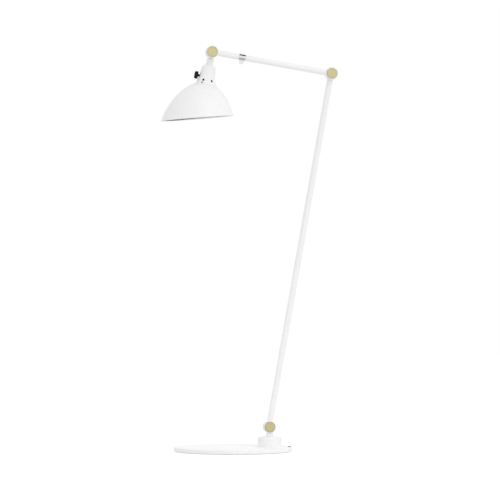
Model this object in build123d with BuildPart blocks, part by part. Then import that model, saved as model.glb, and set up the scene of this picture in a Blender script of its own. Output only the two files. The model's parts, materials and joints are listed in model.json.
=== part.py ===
from build123d import *
import os
from math import cos, radians, sin

# Adjustable arm floor lamp, in millimetres.
# The origin is the centre of the base on the floor, +Z is up, the hub stands towards +X
# and the viewer looks along +Y. The lamp stands as it is used: the lower arm leans back,
# the upper arm is square to it and the head hangs square to the upper arm.

# Base
BASE_DIAMETER = 316.0
PLATE_THICKNESS = 10.5
PLATE_EDGE_RADIUS = 1.5
PAD_THICKNESS = 1.0
PAD_MARGIN = 3.0
HUB_RIM_MARGIN = 28.25
HUB_WALL = 10.75
HUB_HEIGHT = 27.0
HUB_EDGE_RADIUS = 2.0
HUB_POCKET_MARGIN = 2.5
HUB_POCKET_HEADROOM = 1.45
LEAD_CHANNEL_ROOM = 2.0
LEAD_HOLE_DIAMETER = 12.0

# Screws that hold the hub down on the plate
HUB_SCREW_COUNT = 3
HUB_SCREW_DIAMETER = 6.0
HUB_SCREW_HEAD_DIAMETER = 12.0
HUB_SCREW_GRIP = 11.0
HUB_SCREW_START_ANGLE = 60.0

# Outlet for the mains lead, a rubber bush in a slot at the rim
OUTLET_WIDTH = 10.0
OUTLET_LENGTH = 7.5
OUTLET_SETBACK = 3.5
OUTLET_PROUD = 1.8

# Swivel in the hub
SPINDLE_DIAMETER = 16.0
BUSH_WALL = 3.0
BUSH_FLANGE_WIDTH = 3.0
BUSH_FLANGE_THICKNESS = 2.0
STEM_SHOULDER = 2.0
STEM_LENGTH = 8.45
SWIVEL_THREAD_DIAMETER = 12.0
SWIVEL_WASHER_DIAMETER = 26.0
SWIVEL_WASHER_THICKNESS = 1.5
SWIVEL_NUT_WIDTH = 19.0
SWIVEL_NUT_THICKNESS = 6.0
SWIVEL_THREAD_PROUD = 1.0
STOP_PIN_DIAMETER = 3.0
STOP_PIN_LENGTH = 5.0
STOP_PIN_EMBEDDED = 5.0
STOP_PIN_CLEARANCE = 2.5
STOP_TAB_WIDTH = 4.0

# Arms
LOWER_ARM_LENGTH = 957.0
UPPER_ARM_LENGTH = 325.0
LOWER_LEAN = 10.0
ELBOW_ANGLE = 90.0
HEAD_ANGLE = 90.0
TUBE_DIAMETER = 16.0
TUBE_WALL = 1.5
SPIGOT_LENGTH = 25.0
LEAD_DIAMETER = 5.4

# Lap joints: two half barrels side by side on one bolt, under brass caps
BARREL_DIAMETER = 34.0
BARREL_CHAMFER = 0.8
HALF_MARGIN = 1.0
NECK_STANDOFF = 5.0
DISC_THICKNESS = 1.0
DISC_MARGIN = 1.0
BOLT_DIAMETER = 8.0
BOLT_HEAD_DIAMETER = 13.0
BOLT_HEAD_HEIGHT = 4.5
BOLT_SEAT_WALL = 9.0
NUT_WIDTH = 13.0
NUT_HEIGHT = 5.0
NUT_SEAT_WALL = 5.5
SPRING_DIAMETER = 14.6
SPRING_STOCK = 0.9
SPRING_RISE = 0.3
CAP_MARGIN = 2.9
CAP_THICKNESS = 3.0
CAP_BEVEL = 1.0
CAP_LEDGE = 2.2
CAP_SPIGOT_LENGTH = 2.7
CAP_RECESS_DEPTH = 3.0
CAP_POINT_DIAMETER = 1.8
CAP_POINT_DEPTH = 0.5

# Clamp collar on the upper arm
COLLAR_FROM_HEAD = 81.9
COLLAR_LENGTH = 17.8
COLLAR_WALL = 1.4
COLLAR_LUG_WIDTH = 13.0
COLLAR_SCREW_SETOUT = 2.8
COLLAR_LUG_THICKNESS = 9.0
COLLAR_SLIT = 1.2
COLLAR_SCREW_DIAMETER = 4.0
COLLAR_SCREW_HEAD_DIAMETER = 7.0
COLLAR_SCREW_HEAD_HEIGHT = 2.4
COLLAR_SCREW_SLOT_WIDTH = 1.0
COLLAR_SCREW_SLOT_DEPTH = 1.0
COLLAR_SCREW_SLOT_ANGLE = 30.0

# Head, measured along its own axis from the head pivot
HEAD_STEM_DIAMETER = 19.0
HEAD_STEM_LENGTH = 16.5
NECK_LENGTH = 52.0
NECK_WALL = 1.6
NECK_TOP_MARGIN = 1.5
NECK_SHOULDER_DROP = 14.0
NECK_SHOULDER_BULGE = 2.66
NECK_WAIST_SPREAD = 1.8
NECK_WAIST_DROP = 31.0
NECK_FLARE = 7.8
NECK_OVERHANG = 1.6
VENT_COUNT = 6
VENT_DIAMETER = 6.4
VENT_RISE = 9.5
VENT_START_ANGLE = 34.0
NECK_SCREW_COUNT = 3
NECK_SCREW_DIAMETER = 4.0
NECK_SCREW_ANGLE = -28.0
NECK_SCREW_LENGTH = 3.4
NIPPLE_DIAMETER = 10.0
NIPPLE_BORE_DIAMETER = 7.0
NIPPLE_SOCKET_DEPTH = 14.0
NIPPLE_PROUD = 2.0
NIPPLE_WASHER_DIAMETER = 17.0
NIPPLE_WASHER_THICKNESS = 1.0
NIPPLE_NUT_WIDTH = 14.0
NIPPLE_NUT_THICKNESS = 4.0

# Lampholder for a 27 mm screw cap
HOLDER_HEADROOM = 6.3
HOLDER_WALL = 2.75
HOLDER_CLEARANCE = 0.8
HOLDER_SHOULDER = 4.0
HOLDER_FLANGE_STEP = 2.4
HOLDER_FLANGE_THICKNESS = 4.0
HOLDER_NECK_STEP = 2.6
HOLDER_NECK_LENGTH = 10.0
SHELL_BORE_DIAMETER = 26.8
SHELL_THICKNESS = 0.6
SHELL_DEPTH = 19.5
SHELL_SETBACK = 1.0
CONTACT_DIAMETER = 10.0
CONTACT_PLATE = 1.0
CONTACT_BUTTON_DIAMETER = 6.0
CONTACT_BUTTON_HEIGHT = 2.0
CONTACT_SETBACK = 0.5
SHADE_RING_THICKNESS = 6.0
SHADE_RING_NOTCHES = 12
SHADE_RING_NOTCH_DIAMETER = 4.0

# Shade: a spun bowl whose open end is cut off at a slant, longer on the switch's side
SHADE_WALL = 1.2
SHADE_SEAT_MARGIN = 1.4
SHADE_JOIN_RADIUS = 58.9
SHADE_JOIN_DROP = 25.8
SHADE_JOIN_SLOPE = 40.4
SHADE_FLANK_RADIUS = 184.8
SHADE_RIM_DROP = 92.0
SHADE_RIM_SLANT = 14.5

# Rotary switch on the side of the neck
SWITCH_ANGLE = -90.0
SWITCH_FLOOR_WALL = 2.2
SWITCH_SHAFT_DIAMETER = 4.0
SWITCH_SHAFT_DEPTH = 7.0
SWITCH_BUSH_DIAMETER = 7.2
SWITCH_BUSH_DEPTH = 4.0
SWITCH_BUSH_PROUD = 4.0
KNOB_DIAMETER = 20.0
KNOB_THICKNESS = 9.5
KNOB_CROWN = 1.5
KNOB_CROWN_INSET = 1.4
KNOB_EDGE_RADIUS = 1.2
KNOB_FLUTES = 12
KNOB_FLUTE_DIAMETER = 3.0
KNOB_FLUTE_DEPTH = 0.7
KNOB_BORE_DEPTH = 6.0

# Clearances
RUNNING_GAP = 0.05
SEAT_CLEARANCE = 0.05
LOOSE_CLEARANCE = 0.3

# Places that follow from the sizes
plate_top = PAD_THICKNESS + PLATE_THICKNESS
hub_top = plate_top + HUB_HEIGHT
stop_pin_circle = SWIVEL_WASHER_DIAMETER / 2 + STOP_PIN_CLEARANCE + STOP_PIN_DIAMETER / 2
stop_tab_reach = stop_pin_circle + STOP_PIN_DIAMETER / 2
hub_pocket_radius = stop_tab_reach + HUB_POCKET_MARGIN
hub_radius = hub_pocket_radius + HUB_WALL
hub_offset = BASE_DIAMETER / 2 - HUB_RIM_MARGIN - hub_radius
swivel_thread_length = SWIVEL_WASHER_THICKNESS + SWIVEL_NUT_THICKNESS + SWIVEL_THREAD_PROUD
pocket_top = plate_top + RUNNING_GAP + swivel_thread_length + HUB_POCKET_HEADROOM
half_width = TUBE_DIAMETER + HALF_MARGIN
front_face = -half_width / 2
mating_face = half_width / 2
rear_mating_face = mating_face + DISC_THICKNESS + RUNNING_GAP
lap = rear_mating_face + half_width / 2
rear_face = lap + half_width / 2
neck_length = BARREL_DIAMETER / 2 + NECK_STANDOFF
neck_clear = BARREL_DIAMETER / 2 + HALF_MARGIN
spigot_radius = TUBE_DIAMETER / 2 - TUBE_WALL - SEAT_CLEARANCE
lead_bore_radius = LEAD_DIAMETER / 2 + LOOSE_CLEARANCE
bolt_pocket_radius = BOLT_HEAD_DIAMETER / 2 + LOOSE_CLEARANCE
bolt_pocket_depth = half_width - BOLT_SEAT_WALL
nut_corner_radius = NUT_WIDTH / 2 / cos(radians(30))
nut_pocket_radius = max(nut_corner_radius, SPRING_DIAMETER / 2) + LOOSE_CLEARANCE
nut_pocket_depth = half_width - NUT_SEAT_WALL
widest_pocket_radius = max(bolt_pocket_radius, nut_pocket_radius)
lead_start = widest_pocket_radius + LOOSE_CLEARANCE
cap_spigot_radius = widest_pocket_radius + CAP_LEDGE
cap_radius = BARREL_DIAMETER / 2 - CAP_MARGIN
stem_drop = neck_clear + STEM_LENGTH
neck_top = neck_clear + HEAD_STEM_LENGTH
shade_top = neck_top + NECK_LENGTH
upper_lean = LOWER_LEAN - ELBOW_ANGLE
head_lean = upper_lean - HEAD_ANGLE


def along(start, lean, length):
    """The point at a length from start, in a direction that leans from upright towards +X."""
    return Vector(start.X + length * sin(radians(lean)), start.Y, start.Z + length * cos(radians(lean)))


def member_plane(pivot, lean, depth):
    """A plane at a depth in Y whose own Y axis runs along a member from its pivot, facing the viewer."""
    across = (cos(radians(lean)), 0, -sin(radians(lean)))
    return Plane(origin=(pivot.X, depth, pivot.Z), x_dir=across, z_dir=(0, -1, 0))


def cross_section(member, distance):
    """The plane square to a member, at a distance from its pivot."""
    return Plane(origin=member.from_local_coords((0, distance, 0)), x_dir=member.x_dir, z_dir=member.y_dir)


def side_plane(member, angle, distance, start):
    """A plane that faces outwards from a member's axis, at an angle from the viewer's side."""
    outward = Vector(-sin(radians(angle)), 0, cos(radians(angle)))
    origin = member.from_local_coords(Vector(0, distance, 0) + outward * start)
    direction = member.from_local_coords(Vector(0, distance, 0) + outward * (start + 1)) - origin
    return Plane(origin=origin, x_dir=member.y_dir, z_dir=direction)


base_pivot = Vector(hub_offset, 0, hub_top + RUNNING_GAP + stem_drop)
elbow_pivot = along(base_pivot, LOWER_LEAN, LOWER_ARM_LENGTH)
head_pivot = along(elbow_pivot, upper_lean, UPPER_ARM_LENGTH)
lower_member = member_plane(base_pivot, LOWER_LEAN, lap)
upper_member = member_plane(elbow_pivot, upper_lean, 0)
head_member = member_plane(head_pivot, head_lean, lap)
head_axis = Axis(head_member.origin, head_member.y_dir)

os.makedirs("parts", exist_ok=True)


def finish(piece, name):
    """Name a finished piece and write it."""
    piece.part.label = name
    export_step(piece.part, f"parts/{name}.step")


# Base plate: a turned steel disc with a slot for the lead's outlet and a channel underneath
outlet_outer = BASE_DIAMETER / 2 - OUTLET_SETBACK
outlet_inner = outlet_outer - OUTLET_LENGTH
outlet_bore_height = PLATE_THICKNESS / 2
lead_channel_width = 2 * lead_bore_radius + LEAD_CHANNEL_ROOM
lead_channel_depth = outlet_bore_height + lead_bore_radius + LOOSE_CLEARANCE
hub_screw_circle = hub_pocket_radius + HUB_WALL / 2
hub_screw_under = Plane(origin=(hub_offset, 0, PAD_THICKNESS), x_dir=(1, 0, 0), z_dir=(0, 0, -1))

with BuildPart() as base_plate:
    with BuildSketch(Plane.XY.offset(PAD_THICKNESS)):
        Circle(BASE_DIAMETER / 2)
    extrude(amount=PLATE_THICKNESS)
    fillet(base_plate.edges().group_by(Axis.Z)[-1], PLATE_EDGE_RADIUS)
    chamfer(base_plate.edges().group_by(Axis.Z)[0], PLATE_EDGE_RADIUS / 2)
    with BuildSketch(Plane.XY.offset(PAD_THICKNESS)):
        with Locations((hub_offset, 0)):
            Circle(LEAD_HOLE_DIAMETER / 2)
        with Locations((outlet_inner, 0)):
            Rectangle(BASE_DIAMETER, OUTLET_WIDTH + 2 * SEAT_CLEARANCE, align=(Align.MIN, Align.CENTER))
    extrude(amount=PLATE_THICKNESS, mode=Mode.SUBTRACT)
    with BuildSketch(Plane.XY.offset(PAD_THICKNESS)):
        with Locations((hub_offset, 0)):
            Rectangle(outlet_inner - hub_offset, lead_channel_width, align=(Align.MIN, Align.CENTER))
    extrude(amount=lead_channel_depth, mode=Mode.SUBTRACT)
    with Locations(hub_screw_under):
        with PolarLocations(hub_screw_circle, HUB_SCREW_COUNT, start_angle=HUB_SCREW_START_ANGLE):
            CounterSinkHole(
                HUB_SCREW_DIAMETER / 2 + LOOSE_CLEARANCE,
                HUB_SCREW_HEAD_DIAMETER / 2 + LOOSE_CLEARANCE + SEAT_CLEARANCE,
                depth=PLATE_THICKNESS,
                counter_sink_angle=90,
            )
finish(base_plate, "base_plate")

# Felt pad under the plate
with BuildPart() as base_pad:
    with BuildSketch():
        Circle(BASE_DIAMETER / 2 - PAD_MARGIN)
        with Locations((outlet_inner - PAD_MARGIN, 0)):
            Rectangle(BASE_DIAMETER, OUTLET_WIDTH, align=(Align.MIN, Align.CENTER), mode=Mode.SUBTRACT)
    extrude(amount=PAD_THICKNESS)
finish(base_pad, "base_pad")

# Outlet for the lead: an arched rubber bush with its bore across the rim
outlet_height = PLATE_THICKNESS + OUTLET_PROUD
outlet_face = Plane(origin=(outlet_inner, 0, PAD_THICKNESS), x_dir=(0, 1, 0), z_dir=(1, 0, 0))

with BuildPart() as cord_outlet:
    with BuildSketch(outlet_face):
        with Locations((0, outlet_height - OUTLET_WIDTH / 2)):
            Circle(OUTLET_WIDTH / 2)
        Rectangle(
            OUTLET_WIDTH, outlet_height - OUTLET_WIDTH / 2, align=(Align.CENTER, Align.MIN)
        )
        with Locations((0, outlet_bore_height)):
            Circle(lead_bore_radius, mode=Mode.SUBTRACT)
    extrude(amount=OUTLET_LENGTH)
finish(cord_outlet, "cord_outlet")

# Hub: a turned block with a pocket below and a stepped bore for the swivel's bush
bush_radius = SPINDLE_DIAMETER / 2 + RUNNING_GAP + BUSH_WALL
bush_flange_radius = bush_radius + BUSH_FLANGE_WIDTH

with BuildPart() as hub:
    with BuildSketch(Plane.XY.offset(plate_top)):
        with Locations((hub_offset, 0)):
            Circle(hub_radius)
    extrude(amount=HUB_HEIGHT)
    fillet(hub.edges().group_by(Axis.Z)[-1], HUB_EDGE_RADIUS)
    with Locations((hub_offset, 0, plate_top)):
        Cylinder(
            hub_pocket_radius,
            pocket_top - plate_top,
            align=(Align.CENTER, Align.CENTER, Align.MIN),
            mode=Mode.SUBTRACT,
        )
        Cylinder(
            bush_radius + SEAT_CLEARANCE,
            HUB_HEIGHT,
            align=(Align.CENTER, Align.CENTER, Align.MIN),
            mode=Mode.SUBTRACT,
        )
        with PolarLocations(hub_screw_circle, HUB_SCREW_COUNT, start_angle=-HUB_SCREW_START_ANGLE):
            Cylinder(
                HUB_SCREW_DIAMETER / 2 + SEAT_CLEARANCE,
                HUB_SCREW_GRIP + LOOSE_CLEARANCE,
                align=(Align.CENTER, Align.CENTER, Align.MIN),
                mode=Mode.SUBTRACT,
            )
    with Locations((hub_offset, 0, hub_top)):
        Cylinder(
            bush_flange_radius + SEAT_CLEARANCE,
            BUSH_FLANGE_THICKNESS,
            align=(Align.CENTER, Align.CENTER, Align.MAX),
            mode=Mode.SUBTRACT,
        )
    with Locations((hub_offset - stop_pin_circle, 0, pocket_top)):
        Cylinder(
            STOP_PIN_DIAMETER / 2 + SEAT_CLEARANCE,
            STOP_PIN_EMBEDDED,
            align=(Align.CENTER, Align.CENTER, Align.MIN),
            mode=Mode.SUBTRACT,
        )
finish(hub, "hub")

# Countersunk screws, up through the plate into the hub
hub_screw_cone = (HUB_SCREW_HEAD_DIAMETER - HUB_SCREW_DIAMETER) / 2

with BuildPart() as hub_screws:
    with Locations((hub_offset, 0, PAD_THICKNESS + LOOSE_CLEARANCE)):
        with PolarLocations(hub_screw_circle, HUB_SCREW_COUNT, start_angle=-HUB_SCREW_START_ANGLE):
            Cone(
                HUB_SCREW_HEAD_DIAMETER / 2,
                HUB_SCREW_DIAMETER / 2,
                hub_screw_cone,
                align=(Align.CENTER, Align.CENTER, Align.MIN),
            )
            Cylinder(
                HUB_SCREW_DIAMETER / 2,
                PLATE_THICKNESS - LOOSE_CLEARANCE + HUB_SCREW_GRIP,
                align=(Align.CENTER, Align.CENTER, Align.MIN),
            )
finish(hub_screws, "hub_screws")

# Flanged bush that the swivel turns in
with BuildPart() as swivel_bush:
    with BuildSketch(Plane.XY.offset(pocket_top)):
        with Locations((hub_offset, 0)):
            Circle(bush_radius)
    extrude(amount=hub_top - pocket_top)
    with BuildSketch(Plane.XY.offset(hub_top)):
        with Locations((hub_offset, 0)):
            Circle(bush_flange_radius)
    extrude(amount=-BUSH_FLANGE_THICKNESS)
    with Locations((hub_offset, 0, hub_top)):
        Hole(SPINDLE_DIAMETER / 2 + RUNNING_GAP)
finish(swivel_bush, "swivel_bush")

# Stop pin that the swivel's tab meets before the lead twists
with BuildPart() as swivel_stop_pin:
    with Locations((hub_offset - stop_pin_circle, 0, pocket_top - STOP_PIN_LENGTH)):
        Cylinder(
            STOP_PIN_DIAMETER / 2,
            STOP_PIN_LENGTH + STOP_PIN_EMBEDDED,
            align=(Align.CENTER, Align.CENTER, Align.MIN),
        )
finish(swivel_stop_pin, "swivel_stop_pin")


def half_knuckle(name, pivot, lean, front, steps, socket_radius=0.0, socket_depth=0.0):
    """One half of a lap joint: a half barrel on the joint's axis and a stepped stem along its member.

    The front half seats the bolt's head and the rear half its nut and springs, each in a pocket
    behind the cap's recess. A bore for the lead runs down the stem, and a socket may open its end.
    """
    member = member_plane(pivot, lean, 0 if front else lap)
    side = 1 if front else -1
    outer = member.offset(side * half_width / 2)
    pocket_radius = bolt_pocket_radius if front else nut_pocket_radius
    pocket_depth = bolt_pocket_depth if front else nut_pocket_depth
    length = sum(step_length for _, step_length in steps)
    with BuildPart() as knuckle:
        with BuildSketch(member):
            Circle(BARREL_DIAMETER / 2)
        extrude(amount=half_width / 2, both=True)
        chamfer(knuckle.edges().filter_by(GeomType.CIRCLE), BARREL_CHAMFER)
        start = 0.0
        for radius, step_length in steps:
            with BuildSketch(cross_section(member, start)):
                Circle(radius)
            extrude(amount=step_length)
            start += step_length
        with BuildSketch(outer):
            Circle(cap_spigot_radius + SEAT_CLEARANCE)
        extrude(amount=-side * CAP_RECESS_DEPTH, mode=Mode.SUBTRACT)
        with BuildSketch(outer):
            Circle(pocket_radius)
        extrude(amount=-side * pocket_depth, mode=Mode.SUBTRACT)
        with BuildSketch(outer):
            Circle(BOLT_DIAMETER / 2 + RUNNING_GAP)
        extrude(amount=-side * half_width, mode=Mode.SUBTRACT)
        with BuildSketch(cross_section(member, pocket_radius - LOOSE_CLEARANCE)):
            Circle(lead_bore_radius)
        extrude(amount=length - pocket_radius + LOOSE_CLEARANCE, mode=Mode.SUBTRACT)
        if socket_radius:
            with BuildSketch(cross_section(member, length)):
                Circle(socket_radius)
            extrude(amount=-socket_depth, mode=Mode.SUBTRACT)
    finish(knuckle, name)


# Stem of the swivel: the base joint's front half on a spindle that turns in the hub
spindle_length = hub_top - pocket_top + 2 * RUNNING_GAP
half_knuckle(
    "swivel_stem",
    base_pivot,
    180,
    True,
    [
        (TUBE_DIAMETER / 2, neck_clear),
        (SPINDLE_DIAMETER / 2 + STEM_SHOULDER, STEM_LENGTH),
        (SPINDLE_DIAMETER / 2, spindle_length),
        (SWIVEL_THREAD_DIAMETER / 2, swivel_thread_length),
    ],
)

# Washer with a stop tab, and the nut that keeps the spindle in the hub
swivel_washer_top = pocket_top - RUNNING_GAP
swivel_nut_top = swivel_washer_top - SWIVEL_WASHER_THICKNESS

with BuildPart() as swivel_washer:
    with BuildSketch(Plane.XY.offset(swivel_washer_top)):
        with Locations((hub_offset, 0)):
            Circle(SWIVEL_WASHER_DIAMETER / 2)
            Rectangle(stop_tab_reach, STOP_TAB_WIDTH, align=(Align.MIN, Align.CENTER))
            Circle(SWIVEL_THREAD_DIAMETER / 2 + SEAT_CLEARANCE, mode=Mode.SUBTRACT)
    extrude(amount=-SWIVEL_WASHER_THICKNESS)
finish(swivel_washer, "swivel_washer")

with BuildPart() as swivel_nut:
    with BuildSketch(Plane.XY.offset(swivel_nut_top)):
        with Locations((hub_offset, 0)):
            RegularPolygon(SWIVEL_NUT_WIDTH / 2, 6, major_radius=False)
            Circle(SWIVEL_THREAD_DIAMETER / 2 + SEAT_CLEARANCE, mode=Mode.SUBTRACT)
    extrude(amount=-SWIVEL_NUT_THICKNESS)
finish(swivel_nut, "swivel_nut")

# Arm ends: each is a half barrel with a spigot that plugs into the tube
arm_end = [(TUBE_DIAMETER / 2, neck_length), (spigot_radius, SPIGOT_LENGTH)]
half_knuckle("lower_foot_knuckle", base_pivot, LOWER_LEAN, False, arm_end)
half_knuckle("lower_elbow_knuckle", elbow_pivot, LOWER_LEAN + 180, False, arm_end)
half_knuckle("upper_elbow_knuckle", elbow_pivot, upper_lean, True, arm_end)
half_knuckle("upper_head_knuckle", head_pivot, upper_lean + 180, True, arm_end)


def arm_tube(name, member, length):
    """A plain tube between the necks of an arm's two knuckles."""
    with BuildPart() as tube:
        with BuildSketch(cross_section(member, neck_length)):
            Circle(TUBE_DIAMETER / 2)
            Circle(TUBE_DIAMETER / 2 - TUBE_WALL, mode=Mode.SUBTRACT)
        extrude(amount=length - 2 * neck_length)
    finish(tube, name)


def arm_lead(name, member, length):
    """The lead inside an arm, held in the bores of the arm's two knuckles."""
    with BuildPart() as lead:
        with BuildSketch(cross_section(member, lead_start)):
            Circle(LEAD_DIAMETER / 2)
        extrude(amount=length - 2 * lead_start)
    finish(lead, name)


arm_tube("lower_tube", lower_member, LOWER_ARM_LENGTH)
arm_lead("lower_lead", lower_member, LOWER_ARM_LENGTH)
arm_tube("upper_tube", upper_member, UPPER_ARM_LENGTH)
arm_lead("upper_lead", upper_member, UPPER_ARM_LENGTH)


def joint_hardware(name, pivot):
    """What clamps the two halves of a lap joint: bolt, friction disc, springs, nut and two caps."""
    axial = Plane(origin=pivot, x_dir=(1, 0, 0), z_dir=(0, 0, 1))
    axis = Axis(pivot, (0, 1, 0))
    facing = Plane(origin=pivot, x_dir=(1, 0, 0), z_dir=(0, 1, 0))
    bolt_seat = front_face + bolt_pocket_depth
    spring_seat = rear_face - nut_pocket_depth + RUNNING_GAP
    spring_height = SPRING_STOCK + SPRING_RISE
    nut_seat = spring_seat + 2 * spring_height
    bolt_end = rear_face - CAP_RECESS_DEPTH

    with BuildPart() as bolt:
        with BuildSketch(facing.offset(bolt_seat)):
            Circle(BOLT_HEAD_DIAMETER / 2)
        extrude(amount=-BOLT_HEAD_HEIGHT)
        with BuildSketch(facing.offset(bolt_seat)):
            Circle(BOLT_DIAMETER / 2)
        extrude(amount=bolt_end - bolt_seat)
    finish(bolt, f"{name}_bolt")

    with BuildPart() as disc:
        with BuildSketch(facing.offset(mating_face)):
            Circle(BARREL_DIAMETER / 2 - DISC_MARGIN)
            Circle(BOLT_DIAMETER / 2 + SEAT_CLEARANCE, mode=Mode.SUBTRACT)
        extrude(amount=DISC_THICKNESS)
    finish(disc, f"{name}_friction_disc")

    # Two coned springs, wide edges together
    inner = BOLT_DIAMETER / 2 + SEAT_CLEARANCE
    outer = SPRING_DIAMETER / 2
    with BuildPart() as springs:
        for seat, rise in ((spring_seat, SPRING_RISE), (nut_seat, -SPRING_RISE)):
            stock = SPRING_STOCK if rise > 0 else -SPRING_STOCK
            with BuildSketch(axial):
                with BuildLine():
                    Polyline(
                        (inner, seat),
                        (outer, seat + rise),
                        (outer, seat + rise + stock),
                        (inner, seat + stock),
                        close=True,
                    )
                make_face()
            revolve(axis=axis)
    finish(springs, f"{name}_springs")

    with BuildPart() as nut:
        with BuildSketch(facing.offset(nut_seat)):
            RegularPolygon(NUT_WIDTH / 2, 6, major_radius=False)
            Circle(BOLT_DIAMETER / 2 + SEAT_CLEARANCE, mode=Mode.SUBTRACT)
        extrude(amount=NUT_HEIGHT)
    finish(nut, f"{name}_nut")

    # Turned caps, bevelled, with the lathe's centre point left in the face
    for place, seat, out in (("front", front_face, -1), ("rear", rear_face, 1)):
        with BuildPart() as cap:
            with BuildSketch(axial):
                with BuildLine():
                    Polyline(
                        (0, seat - out * CAP_SPIGOT_LENGTH),
                        (cap_spigot_radius, seat - out * CAP_SPIGOT_LENGTH),
                        (cap_spigot_radius, seat),
                        (cap_radius, seat),
                        (cap_radius, seat + out * (CAP_THICKNESS - CAP_BEVEL)),
                        (cap_radius - CAP_BEVEL, seat + out * CAP_THICKNESS),
                        (CAP_POINT_DIAMETER / 2, seat + out * CAP_THICKNESS),
                        (0, seat + out * (CAP_THICKNESS - CAP_POINT_DEPTH)),
                        close=True,
                    )
                make_face()
            revolve(axis=axis)
        finish(cap, f"{name}_{place}_cap")


joint_hardware("base_joint", base_pivot)
joint_hardware("elbow_joint", elbow_pivot)
joint_hardware("head_joint", head_pivot)

# Split clamp collar on the upper arm, with its lug underneath
collar_middle = along(elbow_pivot, upper_lean, UPPER_ARM_LENGTH - COLLAR_FROM_HEAD)
collar_member = member_plane(collar_middle, upper_lean, 0)
collar_radius = TUBE_DIAMETER / 2 + COLLAR_WALL
collar_screw_drop = collar_radius + COLLAR_SCREW_SETOUT
collar_lug_reach = collar_screw_drop + COLLAR_LUG_WIDTH / 2

with BuildPart() as arm_collar:
    with BuildSketch(cross_section(collar_member, -COLLAR_LENGTH / 2)):
        Circle(collar_radius)
    extrude(amount=COLLAR_LENGTH)
    chamfer(arm_collar.edges().filter_by(GeomType.CIRCLE), COLLAR_WALL / 3)
    with BuildSketch(collar_member):
        with Locations((-collar_screw_drop, 0)):
            Circle(COLLAR_LUG_WIDTH / 2)
            Rectangle(collar_screw_drop, COLLAR_LUG_WIDTH, align=(Align.MIN, Align.CENTER))
    extrude(amount=COLLAR_LUG_THICKNESS / 2, both=True)
    with BuildSketch(cross_section(collar_member, -COLLAR_LENGTH / 2)):
        Circle(TUBE_DIAMETER / 2 + SEAT_CLEARANCE)
        Rectangle(collar_lug_reach, COLLAR_SLIT, align=(Align.MAX, Align.CENTER))
    extrude(amount=COLLAR_LENGTH, mode=Mode.SUBTRACT)
    with BuildSketch(collar_member):
        with Locations((-collar_screw_drop, 0)):
            Circle(COLLAR_SCREW_DIAMETER / 2 + SEAT_CLEARANCE)
    extrude(amount=COLLAR_LUG_THICKNESS / 2, both=True, mode=Mode.SUBTRACT)
finish(arm_collar, "arm_collar")

with BuildPart() as collar_screw:
    with BuildSketch(collar_member.offset(-COLLAR_LUG_THICKNESS / 2)):
        with Locations((-collar_screw_drop, 0)):
            Circle(COLLAR_SCREW_DIAMETER / 2)
    extrude(amount=COLLAR_LUG_THICKNESS)
    with BuildSketch(collar_member.offset(COLLAR_LUG_THICKNESS / 2)):
        with Locations((-collar_screw_drop, 0)):
            Circle(COLLAR_SCREW_HEAD_DIAMETER / 2)
    extrude(amount=COLLAR_SCREW_HEAD_HEIGHT)
    with BuildSketch(collar_member.offset(COLLAR_LUG_THICKNESS / 2 + COLLAR_SCREW_HEAD_HEIGHT)):
        with Locations((-collar_screw_drop, 0)):
            Rectangle(COLLAR_SCREW_SLOT_WIDTH, COLLAR_SCREW_HEAD_DIAMETER, rotation=COLLAR_SCREW_SLOT_ANGLE)
    extrude(amount=-COLLAR_SCREW_SLOT_DEPTH, mode=Mode.SUBTRACT)
finish(collar_screw, "collar_screw")

# Head knuckle: the head joint's rear half on a stem with a socket for the threaded nipple
half_knuckle(
    "head_knuckle",
    head_pivot,
    head_lean,
    False,
    [(TUBE_DIAMETER / 2, neck_clear), (HEAD_STEM_DIAMETER / 2, HEAD_STEM_LENGTH)],
    NIPPLE_DIAMETER / 2 + SEAT_CLEARANCE,
    NIPPLE_SOCKET_DEPTH,
)

# Nipple, washer and nut that the neck turns on
neck_under = neck_top + RUNNING_GAP + NECK_WALL
nipple_washer_top = neck_under + RUNNING_GAP
nipple_nut_top = nipple_washer_top + NIPPLE_WASHER_THICKNESS
nipple_end = nipple_nut_top + NIPPLE_NUT_THICKNESS + NIPPLE_PROUD

with BuildPart() as head_nipple:
    with BuildSketch(cross_section(head_member, neck_top - NIPPLE_SOCKET_DEPTH)):
        Circle(NIPPLE_DIAMETER / 2)
        Circle(NIPPLE_BORE_DIAMETER / 2, mode=Mode.SUBTRACT)
    extrude(amount=nipple_end - neck_top + NIPPLE_SOCKET_DEPTH)
finish(head_nipple, "head_nipple")

with BuildPart() as nipple_washer:
    with BuildSketch(cross_section(head_member, nipple_washer_top)):
        Circle(NIPPLE_WASHER_DIAMETER / 2)
        Circle(NIPPLE_DIAMETER / 2 + SEAT_CLEARANCE, mode=Mode.SUBTRACT)
    extrude(amount=NIPPLE_WASHER_THICKNESS)
finish(nipple_washer, "nipple_washer")

with BuildPart() as nipple_nut:
    with BuildSketch(cross_section(head_member, nipple_nut_top)):
        RegularPolygon(NIPPLE_NUT_WIDTH / 2, 6, major_radius=False)
        Circle(NIPPLE_DIAMETER / 2 + SEAT_CLEARANCE, mode=Mode.SUBTRACT)
    extrude(amount=NIPPLE_NUT_THICKNESS)
finish(nipple_nut, "nipple_nut")

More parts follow.
